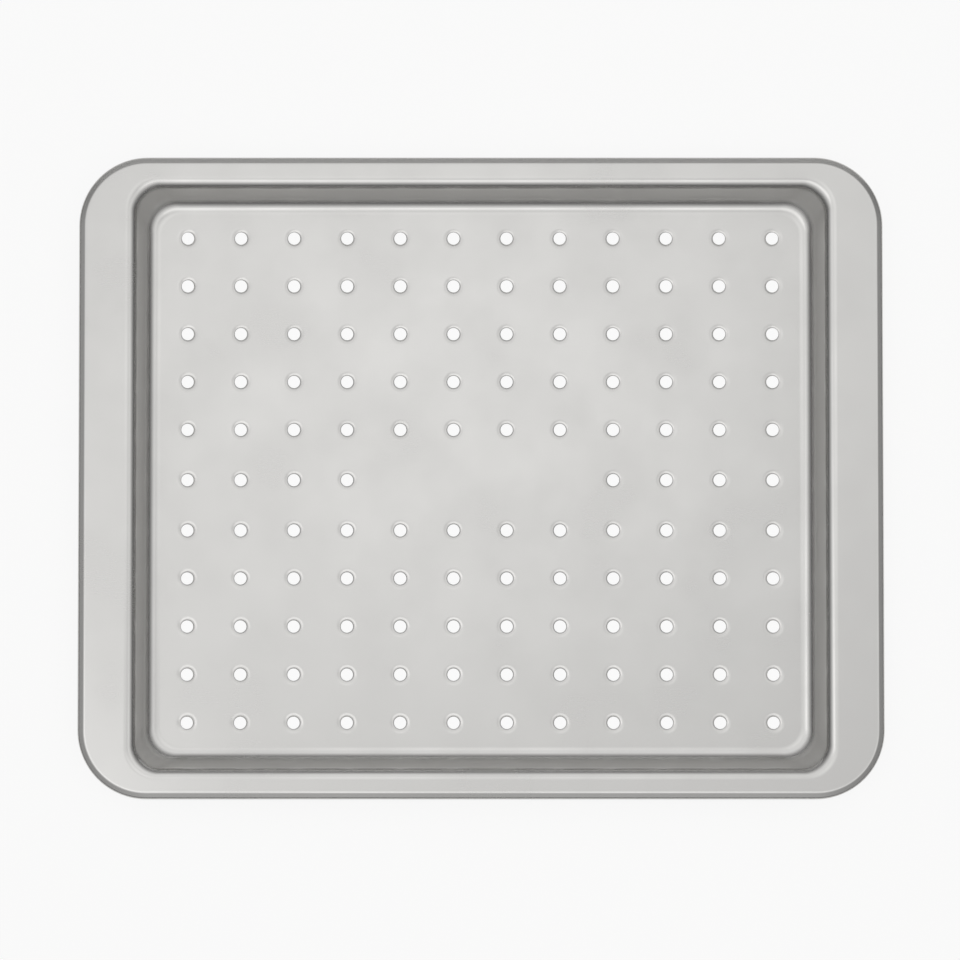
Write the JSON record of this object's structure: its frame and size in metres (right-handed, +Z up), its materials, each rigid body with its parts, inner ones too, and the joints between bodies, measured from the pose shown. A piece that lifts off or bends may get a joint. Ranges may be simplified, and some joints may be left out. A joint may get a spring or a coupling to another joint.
{
  "type": "crisper pan",
  "caption": "Shallow rectangular oven pan of satin sheet steel: perforated flat floor, leaning walls, wide end flanges to lift it by and a turned-down, curled edge.",
  "frame": {"origin": "middle of the floor's underside, which is also the bottom centre of the pan's box", "axes": "+X along the pan towards one of the two wide end flanges, +Y across it, +Z up out of the well"},
  "size_m": [0.406, 0.324, 0.02],
  "materials": {
    "aluminised_steel": "satin, hot-dip aluminised sheet, pressed"
  },
  "bodies": {
    "root": {"crisper_pan": "aluminised_steel"}
  },
  "joints": []
}
